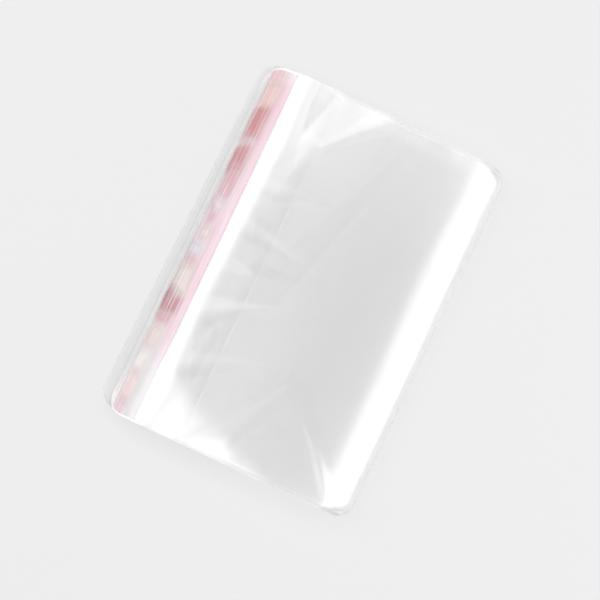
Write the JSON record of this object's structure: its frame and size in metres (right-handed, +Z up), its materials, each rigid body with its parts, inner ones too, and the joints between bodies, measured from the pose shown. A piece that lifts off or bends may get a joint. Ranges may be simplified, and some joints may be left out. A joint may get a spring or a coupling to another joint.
{
  "type": "self-adhesive poly bag",
  "caption": "Clear flat poly bag with a peel-and-seal flap and printed release liner, lying loosely folded in half.",
  "frame": {"origin": "under the middle of the folded bag's bounding box, on the surface that it lies on", "axes": "+Z up, +Y along the mouth, +X from the flap's free end to the fold across the bag's middle"},
  "size_m": [0.1297, 0.1818, 0.0145],
  "materials": {
    "clear_film": "clear glossy polypropylene film, slightly hazy where layers lie together",
    "adhesive": "pale tacky pressure-sensitive adhesive",
    "printed_liner": "thin film liner printed with pink, dusty red and beige fields"
  },
  "bodies": {
    "root": {"film_bag": "clear_film", "adhesive_strip": "adhesive", "release_liner": "printed_liner"}
  },
  "joints": []
}
